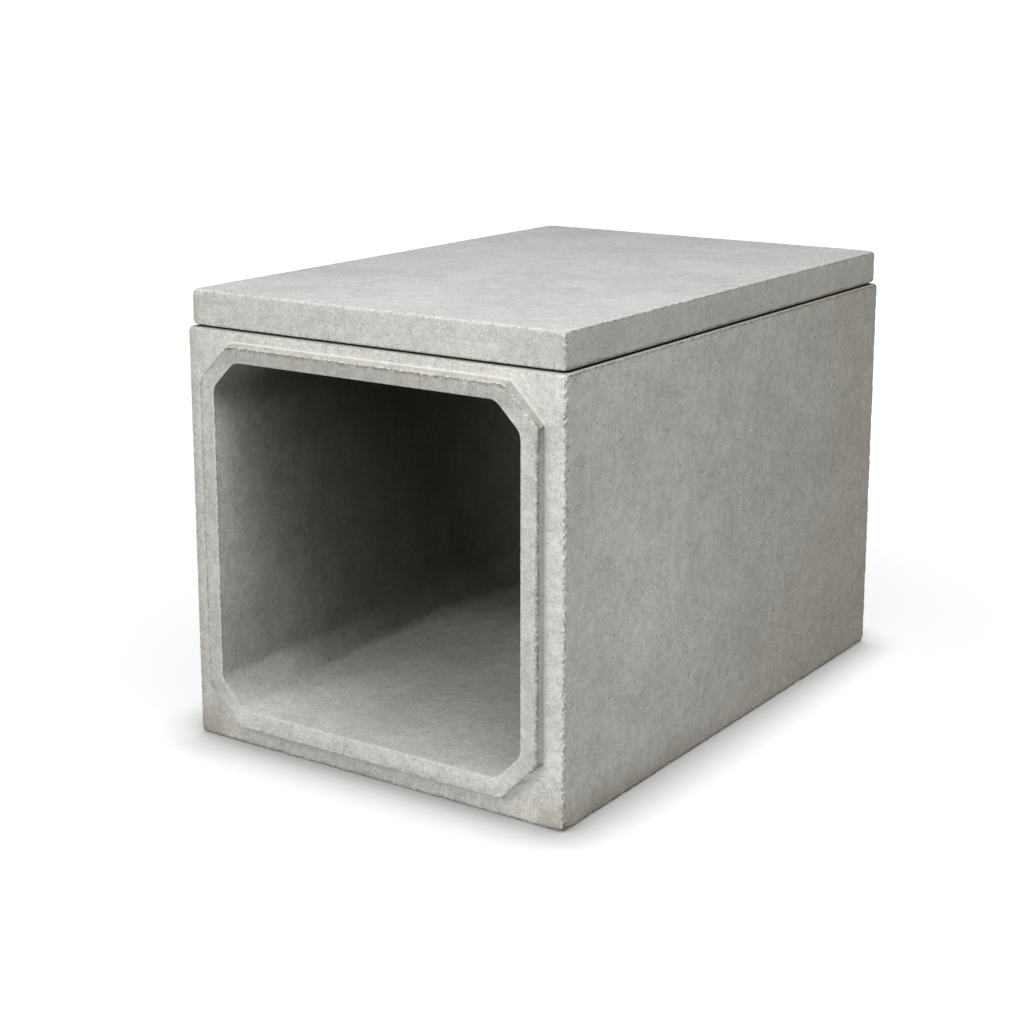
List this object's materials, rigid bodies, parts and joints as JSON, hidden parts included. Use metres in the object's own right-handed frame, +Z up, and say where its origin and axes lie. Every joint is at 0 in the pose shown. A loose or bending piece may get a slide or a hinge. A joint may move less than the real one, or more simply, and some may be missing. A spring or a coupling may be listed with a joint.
{
  "type": "precast box culvert",
  "caption": "Precast concrete box culvert unit: a haunched waterway with a spigot end and a socket end, under a flat cover slab bedded on sealing strips.",
  "frame": {"origin": "centre of the whole length, spigot included, and of the width, on the underside", "axes": "+Z up, +Y along the waterway from the spigot end to the socket end, +X to the right seen from the spigot end"},
  "size_m": [1.228, 1.828, 1.274],
  "materials": {
    "box_concrete": "cast concrete, matte, worn arrises",
    "slab_concrete": "cast concrete, matte, trowelled top",
    "sealant": "dull black mastic"
  },
  "bodies": {
    "root": {"box_section": "box_concrete", "cover_slab": "slab_concrete", "seal_strip_left": "sealant", "seal_strip_right": "sealant", "seal_strip_front": "sealant", "seal_strip_rear": "sealant"}
  },
  "joints": []
}
